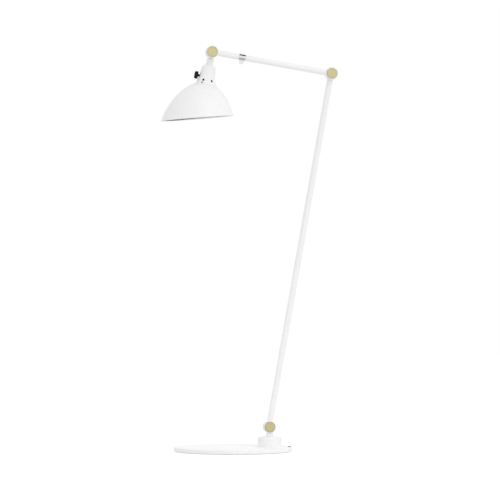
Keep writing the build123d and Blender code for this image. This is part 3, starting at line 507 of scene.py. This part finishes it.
def felt_ring(turn):
    """The outline at one turn of the rounded edge, from 0 at the floor to half a turn at the plate."""
    height = pad_low.z + felt_rounding * (1 - math.cos(turn))
    inset = felt_rounding * (1 - math.sin(turn))
    points = []
    for angle in felt_angles:
        reach = felt_reach(angle) - inset
        points.append((reach * math.cos(angle), reach * math.sin(angle), height))
    return points


felt_rings = [felt_ring(i * math.pi / FELT_EDGE_STEPS) for i in range(FELT_EDGE_STEPS + 1)]
felt_foot = skin_rings("felt_foot", felt_rings, finish["felt"])
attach(felt_foot, "base")
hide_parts("base_pad")

# %% [markdown]
# ## Places round the head
# Shade, lampholder and neck are all round one line, the one that the head turns about, and that line leans.
# Their points could be written in X, Y and Z, with the lean in every formula. It is easier to say how far
# down the line a point is, how far out from it, and how far round from the switch. These helpers turn a
# point into those three numbers and back.

# %% Helpers for the head
def around_head(point):
    """A point's drop along the head's line, its distance from that line, and its angle from the switch."""
    offset = point - head_start
    side = offset.dot(switch_side)
    front = offset.dot(front_side)
    return offset.dot(head_down), math.hypot(side, front), math.atan2(front, side)


def outward(angle):
    """The direction straight out from the head's line, at an angle from the switch."""
    return math.cos(angle) * switch_side + math.sin(angle) * front_side


def on_head(drop, distance, angle):
    """The point that around_head would turn back into these three numbers."""
    return head_start + drop * head_down + distance * outward(angle)


shade_end = max(around_head(vertex.co)[0] for vertex in nodes["shade"].data.vertices)
print("the shade ends", round(shade_end / MM, 1), "mm down the head's line")

# %% [markdown]
# ## The shade's rim
# The rim is cut at a slant, so it is neither a circle nor level, and a ring placed by hand would miss it.
# The CAD mesh knows it: a narrow band of faces that look down the head's line. They are picked out by their
# direction, all others are deleted from a copy, and the outer border of what is left is walked point by
# point.

# %% Find the rim in the CAD mesh
RIM_DEPTH = 60 * MM
RIM_FACING = 0.94
SAME_POINT = 0.01 * MM


def is_rim(face):
    """Whether a face looks down the head's line, near the end of the shade."""
    drop = around_head(face.calc_center_median())[0]
    return face.normal.dot(head_down) >= RIM_FACING and drop >= shade_end - RIM_DEPTH


def outer_border(band):
    """The outer border of a flat band of faces, as points in order."""
    border = [edge for edge in band.edges if len(edge.link_faces) == 1]
    loops = []
    while border:
        loop = list(border.pop().verts)
        while loop[-1] is not loop[0]:
            edge = next(edge for edge in border if loop[-1] in edge.verts)
            border.remove(edge)
            loop.append(edge.other_vert(loop[-1]))
        loops.append([vert.co.copy() for vert in loop[:-1]])
    return max(loops, key=lambda loop: max(around_head(point)[1] for point in loop))


band = bmesh.new()
band.from_mesh(nodes["shade"].data)
bmesh.ops.delete(band, geom=[face for face in band.faces if not is_rim(face)], context="FACES")
bmesh.ops.remove_doubles(band, verts=band.verts, dist=SAME_POINT)
rim_normal = sum((face.normal * face.calc_area() for face in band.faces), Vector()).normalized()
rim_line = outer_border(band)
band.free()
print("rim has", len(rim_line), "points and is tilted", round(math.degrees(rim_normal.angle(head_down)), 2))

# %% [markdown]
# ## The rolled edge
# A spun shade is seldom left with a raw edge: its rim is rolled over, which stiffens it and catches a thin
# line of light. A bevelled curve along the rim would do, but it turns about its own path and can twist. Here
# a small ring of points stands at each point of the rim, squared up by the rim's own face, and the rings
# join into a bead. It sits a little inside the rim and a little into the shade, so that no gap shows.

# %% Bead on the rim
BEAD_RADIUS = 0.8 * MM
BEAD_SIDES = 14
BEAD_INSET = 0.4 * MM
BEAD_SINK = 0.6 * BEAD_RADIUS


def full_turn(steps):
    """Evenly spaced angles, all the way round."""
    return [2 * math.pi * i / steps for i in range(steps)]


def bead_ring(point):
    """The bead's section at one point of the rim."""
    radial = outward(around_head(point)[2])
    radial = (radial - radial.dot(rim_normal) * rim_normal).normalized()
    middle = point - BEAD_INSET * radial - BEAD_SINK * rim_normal
    directions = [math.cos(turn) * radial + math.sin(turn) * rim_normal for turn in full_turn(BEAD_SIDES)]
    return [middle + BEAD_RADIUS * direction for direction in directions]


bead_rings = [bead_ring(point) for point in rim_line]
shade_bead = skin_rings("shade_bead", bead_rings, finish["white_paint"], loop=True)
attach(shade_bead, "head")

# %% [markdown]
# ## Thread in the lampholder
# A bulb screws into a thin brass shell whose thread is pressed into the sheet, so it shows on both faces as
# a smooth wave that climbs round the bore. A true screw sweep would make sharp crests. Here each ring's
# radius follows a cosine whose phase runs on with the angle, which is the pressed wave itself, and the wave
# fades out at both ends, where the sheet is plain. The rings run down the outer face and back up the inner.

# %% Threaded shell
THREAD_PITCH = 3.6 * MM
THREAD_DEPTH = 0.9 * MM
SHELL_SHEET = 0.35 * MM
SHELL_COLUMNS = 64
SHELL_STEP = 0.3 * MM
SHELL_FADE = 2.0 * MM
shell_places = [around_head(vertex.co) for vertex in nodes["lampholder_shell"].data.vertices]
shell_top = min(place[0] for place in shell_places)
shell_mouth = max(place[0] for place in shell_places)
shell_radius = max(place[1] for place in shell_places)


def shell_ring(drop, thickness):
    """One ring of the pressed sheet, as far in from its outer face as a thickness."""
    plain = min(drop - shell_top, shell_mouth - drop) / SHELL_FADE
    depth = THREAD_DEPTH * max(0.0, min(1.0, plain))
    points = []
    for angle in full_turn(SHELL_COLUMNS):
        wave = 0.5 - 0.5 * math.cos(2 * math.pi * drop / THREAD_PITCH - angle)
        points.append(on_head(drop, shell_radius - depth * wave - thickness, angle))
    return points


shell_rows = round((shell_mouth - shell_top) / SHELL_STEP)
shell_drops = [shell_top + (shell_mouth - shell_top) * i / shell_rows for i in range(shell_rows + 1)]
shell_rings = [shell_ring(drop, 0) for drop in shell_drops]
shell_rings += [shell_ring(drop, SHELL_SHEET) for drop in reversed(shell_drops)]
threaded_shell = skin_rings("threaded_shell", shell_rings, finish["drawn_brass"], loop=True)
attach(threaded_shell, "head")
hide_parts("lampholder_shell")

# %% [markdown]
# ## Where the neck's screws are
# Three headless screws hold the neck on the lampholder. In CAD they are plain pins in one piece, so its mesh
# has three loose parts. Blender can separate loose parts into objects, but the CAD piece has to stay as it
# is. So a copy of its points is sorted instead: from one point, every edge is followed until no new point
# turns up, and that is one pin. The points wait in a list, since a set would give them in another order, and
# the screws other numbers, each time the script runs.

# %% Find the pins
def loose_parts(mesh):
    """The points of each loose part of a mesh."""
    shape = bmesh.new()
    shape.from_mesh(mesh)
    bmesh.ops.remove_doubles(shape, verts=shape.verts, dist=SAME_POINT)
    waiting = list(shape.verts)
    parts = []
    while waiting:
        reached = [waiting.pop()]
        for vert in reached:
            for edge in vert.link_edges:
                other = edge.other_vert(vert)
                if other in waiting:
                    waiting.remove(other)
                    reached.append(other)
        parts.append([vert.co.copy() for vert in reached])
    shape.free()
    return parts


screw_pins = loose_parts(nodes["neck_screws"].data)
print(len(screw_pins), "screws in the neck")

# %% [markdown]
# ## Outline of a grub screw
# From outside, the screws are dark dots: a blackened end with a six-sided socket for a key. A thread could
# be wound round the shank, as in the lampholder, but the shank is hidden in the neck, so a row of plain
# grooves is enough. The outline is a list of steps, each a place along the screw with its radius there. The
# socket needs one more helper, for the distance of a hexagon's side at each angle.

# %% Screw outline
SCREW_CHAMFER = 0.35 * MM
SCREW_GROOVE = 0.22 * MM


def hexagon(turn):
    """Distance from the middle to a hexagon's side, for a half width of one."""
    return 1 / math.cos((turn + math.pi / 6) % (math.pi / 3) - math.pi / 6)


def shank_steps(start, end, radius):
    """Places along a screw with its radius there: a tapered tip, grooves and a chamfered end."""
    steps = [(start, radius - 2 * SCREW_CHAMFER)]
    grooves = round((end - start - 2 * SCREW_CHAMFER) / (2 * SCREW_GROOVE))
    for i in range(grooves + 1):
        steps.append((start + SCREW_CHAMFER + 2 * i * SCREW_GROOVE, radius - SCREW_GROOVE * (i % 2)))
    steps.append((end, radius - SCREW_CHAMFER))
    return steps


print("a socket's corners are", round(hexagon(math.pi / 6), 3), "times as far out as its sides")

# %% [markdown]
# ## Grub screws in the neck
# Cutting a socket with a boolean leaves long thin faces. Here the row of rings that makes the shank goes on
# over the end and down into the screw, and its last two rings are pushed out to the sides of a hexagon. Each
# pin of the CAD piece gives its screw a place, a direction, a length and a radius.

# %% Grub screws
SCREW_SIDES = 24
SOCKET_HALF_WIDTH = 1.0 * MM
SOCKET_DEPTH = 1.6 * MM


def grub_screw(name, points):
    """A screw in the place of a plain pin."""
    drop, _, angle = around_head(sum(points, Vector()) / len(points))
    out = outward(angle)
    line = head_start + drop * head_down
    reaches = [(point - line).dot(out) for point in points]
    start, end = min(reaches), max(reaches)
    radius = max((point - line - (point - line).dot(out) * out).length for point in points)
    turns = full_turn(SCREW_SIDES)
    around = out.cross(head_down)
    flat = [math.cos(turn) * head_down + math.sin(turn) * around for turn in turns]
    rings = []
    for reach, size in shank_steps(start, end, radius):
        rings.append([line + reach * out + size * way for way in flat])
    sides = [SOCKET_HALF_WIDTH * hexagon(turn) for turn in turns]
    for reach in (end, end - SOCKET_DEPTH):
        rings.append([line + reach * out + size * way for size, way in zip(sides, flat)])
    return skin_rings(name, rings, finish["blackened_steel"])


for number, points in enumerate(screw_pins):
    screw = grub_screw(f"grub_screw_{number + 1}", points)
    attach(screw, "head")
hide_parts("neck_screws")

# %% [markdown]
# ## White all round
# The picture was made on a white sweep, with even light from all round and a soft key from the upper right.
# More light would turn the background white, but the lamp would burn out with it. So the world lights the
# lamp at a plain level, a little stronger from the sides than from above, which keeps the undersides of the
# tubes from going grey. It is only shown as white: rays that come straight from the camera, or off a shiny
# surface, read a strength of one.

# %% World
HORIZON_LIGHT = 0.97
ZENITH_LIGHT = 0.83


def seen_directly(tree):
    """1 for rays from the camera, off a shiny surface or through a clear one, and 0 for diffuse ones."""
    path = add_node(tree, "ShaderNodeLightPath")
    shiny = {0: path.outputs["Is Glossy Ray"], 1: path.outputs["Is Transmission Ray"]}
    mirrored = add_node(tree, "ShaderNodeMath", shiny, operation="MAXIMUM").outputs["Value"]
    either = {0: path.outputs["Is Camera Ray"], 1: mirrored}
    return add_node(tree, "ShaderNodeMath", either, operation="MAXIMUM").outputs["Value"]


studio = bpy.data.worlds.new("studio")
bpy.context.scene.world = studio
studio.use_nodes = True
tree = studio.node_tree
direction = add_node(tree, "ShaderNodeTexCoord").outputs["Generated"]
height = add_node(tree, "ShaderNodeSeparateXYZ", {"Vector": direction}).outputs["Z"]
fade = {"Value": height, "To Min": HORIZON_LIGHT, "To Max": ZENITH_LIGHT}
light = add_node(tree, "ShaderNodeMapRange", fade).outputs["Result"]
levels = {"Value": seen_directly(tree), "To Min": light, "To Max": 1.0}
level = add_node(tree, "ShaderNodeMapRange", levels).outputs["Result"]
sky = tree.nodes["Background"]
sky.inputs["Color"].default_value = (*grey(1), 1)
feed(tree, sky, "Strength", level)
print("world light from", HORIZON_LIGHT, "to", ZENITH_LIGHT)

# %% [markdown]
# ## Paper for the floor
# The floor runs white into the backdrop, yet the base must stand on it and not float. Plain paper would show
# a grey edge against the world, and paper that only glows would show no shadow. So what is seen directly is
# the sum of two: a glow of three quarters, and a dull paper that adds the light falling on it, and with it
# the soft shadow under the base. To the light itself the floor is plain pale paper.

# %% Paper
FLOOR_GLOW = 0.74
FLOOR_SHADOW_SHARE = 0.33
PAPER_DRIFT = 0.3
PAPER_TONES = [(NOISE_LOW, grey(0.89)), (NOISE_HIGH, grey(0.91))]


def bare_material(name):
    """A new material without a shader, its node tree, and the socket that takes the shader it will get."""
    material = bpy.data.materials.new(name)
    material.use_nodes = True
    tree = material.node_tree
    tree.nodes.remove(tree.nodes["Principled BSDF"])
    return material, tree, tree.nodes["Material Output"].inputs["Surface"]


def floor_paper():
    material, tree, surface = bare_material("floor_white")
    tones = ramp(tree, noise(tree, place_on_piece(tree), PAPER_DRIFT), PAPER_TONES)
    lit = add_node(tree, "ShaderNodeBsdfDiffuse", {"Color": tones})
    glow = add_node(tree, "ShaderNodeEmission", {"Strength": FLOOR_GLOW})
    shaded = add_node(tree, "ShaderNodeBsdfDiffuse", {"Color": (*grey(FLOOR_SHADOW_SHARE), 1)})
    shown = add_node(tree, "ShaderNodeAddShader", {0: glow.outputs[0], 1: shaded.outputs[0]})
    inputs = {0: seen_directly(tree), 1: lit.outputs[0], 2: shown.outputs[0]}
    both = add_node(tree, "ShaderNodeMixShader", inputs)
    tree.links.new(both.outputs[0], surface)
    return material


paper = floor_paper()
print("made", paper.name)

# %% [markdown]
# ## Floor
# A sheet of backdrop paper is square, and a plane would be too, but seen from another side its corners could
# come into the picture. A disc reaches as far in every direction. It is a part of the studio and not of the
# lamp.

# %% Floor
FLOOR_RADIUS = 8.0
FLOOR_SIDES = 96

disc = bmesh.new()
bmesh.ops.create_circle(disc, cap_ends=True, segments=FLOOR_SIDES, radius=FLOOR_RADIUS)
floor_mesh = bpy.data.meshes.new("studio_floor")
disc.to_mesh(floor_mesh)
disc.free()
floor_mesh.materials.append(paper)
floor = put_in_scene("studio_floor", floor_mesh)
print("floor reaches", FLOOR_RADIUS, "m")

# %% [markdown]
# ## Key light
# The key is a wide softbox at the upper right. A small lamp close by would give the shade a hot spot and
# leave the base in the dark, so it is large and far enough off to light both alike.

# %% Key light
KEY_PLACE = Vector((5.0, -5.8, 6.6))
KEY_SIZE = 4.5
KEY_WATTS = 140.0


def hang_light(name, lamp, place, target):
    """A light at a place, turned towards a target and kept out of the picture."""
    light = put_in_scene(name, lamp)
    light.location = place
    light.rotation_euler = (target - place).to_track_quat("-Z", "Y").to_euler()
    light.visible_camera = False
    print(name, "is", round((target - place).length, 2), "m off")


key = bpy.data.lights.new("key_softbox", "AREA")
key.size = KEY_SIZE
key.energy = KEY_WATTS
hang_light("key_softbox", key, KEY_PLACE, view_middle)

# %% [markdown]
# ## Spot on the base
# Near the floor the lamp shades itself, and the base would come out greyer than the shade. A stronger key
# would burn out the shade first, so a narrow spot is aimed at the base alone. It hangs high up and forward
# of the lamp, where no more than the faint edge of its cone meets the shade. That edge is soft, so that no
# circle shows on the floor.

# %% Spot on the base
SPOT_PLACE = Vector((0.55, -1.3, 4.1))
SPOT_TARGET = Vector((0.0, 0.0, 0.02))
SPOT_REACH = 0.34
SPOT_WATTS = 130.0
SPOT_EDGE = 0.9
SPOT_LAMP_RADIUS = 0.2

spot = bpy.data.lights.new("base_spot", "SPOT")
spot.energy = SPOT_WATTS
spot.spot_size = 2 * math.atan(SPOT_REACH / (SPOT_PLACE - SPOT_TARGET).length)
spot.spot_blend = SPOT_EDGE
spot.shadow_soft_size = SPOT_LAMP_RADIUS
hang_light("base_spot", spot, SPOT_PLACE, SPOT_TARGET)
print("spot opens", round(math.degrees(spot.spot_size), 1), "degrees")

# %% [markdown]
# ## Cards
# In an all-white studio the chrome collar would vanish into the white arm, and the inside of the shade would
# be as bright as its outside. A photographer holds up cards to take light away. Large cards on stands would
# darken whatever comes near them when the lamp is moved, so these are small, close by, and clipped to the
# arm and to the head. Each is painted on one face and seen by one kind of ray only, so none casts a shadow
# or shows in the picture.

# %% A card and its clip
RAYS = ("camera", "diffuse", "glossy", "transmission", "shadow", "volume_scatter")


def card_paint(name, tone):
    """A tone on the front of a card. Its back is clear."""
    material, tree, surface = bare_material(name)
    paint = add_node(tree, "ShaderNodeEmission", {"Color": (*grey(tone), 1)})
    clear = add_node(tree, "ShaderNodeBsdfTransparent")
    back = add_node(tree, "ShaderNodeNewGeometry").outputs["Backfacing"]
    faces = add_node(tree, "ShaderNodeMixShader", {0: back, 1: paint.outputs[0], 2: clear.outputs[0]})
    tree.links.new(faces.outputs[0], surface)
    return material


def clip_card(name, body, middle, facing, outline, tone, ray):
    """A card clipped to a body, which only one kind of ray can see."""
    mesh = bpy.data.meshes.new(name)
    mesh.from_pydata([(x, y, 0) for x, y in outline], [], [range(len(outline))])
    mesh.materials.append(card_paint(name, tone))
    card = put_in_scene(name, mesh)
    card.location = middle
    card.rotation_euler = facing.to_track_quat("Z", "Y").to_euler()
    for kind in RAYS:
        setattr(card, "visible_" + kind, kind == ray)
    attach(card, body)
    print(name, "at", [round(value, 3) for value in middle])


print("a card is seen by one of", RAYS)

# %% [markdown]
# ## Two cards at the collar
# Polished metal has no look of its own: it shows only what stands round it. Dark bands could be painted on
# the collar, but they would stay where they are when the eye moves, and that gives paint away. So a black
# card stands above the collar and a grey one below, both on its front side, and the round metal draws each
# of them out into a band.

# %% Cards at the collar
COLLAR_CARD_DISTANCE = 100 * MM
COLLAR_CARD_WIDTH = 90 * MM
COLLAR_CARDS = {
    "high_card": {"elevation": math.radians(72), "height": 80 * MM, "tone": 0.01},
    "low_card": {"elevation": math.radians(-52), "height": 145 * MM, "tone": 0.52},
}

collar_low, collar_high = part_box("arm_collar")
collar_middle = (collar_low + collar_high) / 2
for name, card in COLLAR_CARDS.items():
    direction = Vector((0, -math.cos(card["elevation"]), math.sin(card["elevation"])))
    place = collar_middle + COLLAR_CARD_DISTANCE * direction
    half_width = COLLAR_CARD_WIDTH / 2
    half_height = card["height"] / 2
    corners = [(x * half_width, y * half_height) for x, y in ((-1, -1), (1, -1), (1, 1), (-1, 1))]
    clip_card(name, "upper_arm", place, -direction, corners, card["tone"], "glossy")

# %% [markdown]
# ## A card under the shade's mouth
# White paint inside a shade is lit through its mouth alone. Here the bright floor would send in as much
# light as falls on the outside. A round grey card just below the rim lets in less. It sits a little towards
# the switch, so that the open sliver on the other side lets light fall in across the bowl.

# %% Card at the mouth
MOUTH_CARD_GAP = 6 * MM
MOUTH_CARD_SHIFT = 22 * MM
MOUTH_CARD_SIDES = 48
MOUTH_CARD_TONE = 0.14

rim_middle = sum(rim_line, Vector()) / len(rim_line)
rim_radius = min((point - rim_middle).length for point in rim_line)
mouth_place = rim_middle + MOUTH_CARD_GAP * rim_normal + MOUTH_CARD_SHIFT * switch_side
mouth_circle = [
    (rim_radius * math.cos(turn), rim_radius * math.sin(turn)) for turn in full_turn(MOUTH_CARD_SIDES)
]
clip_card("mouth_card", "head", mouth_place, -rim_normal, mouth_circle, MOUTH_CARD_TONE, "diffuse")
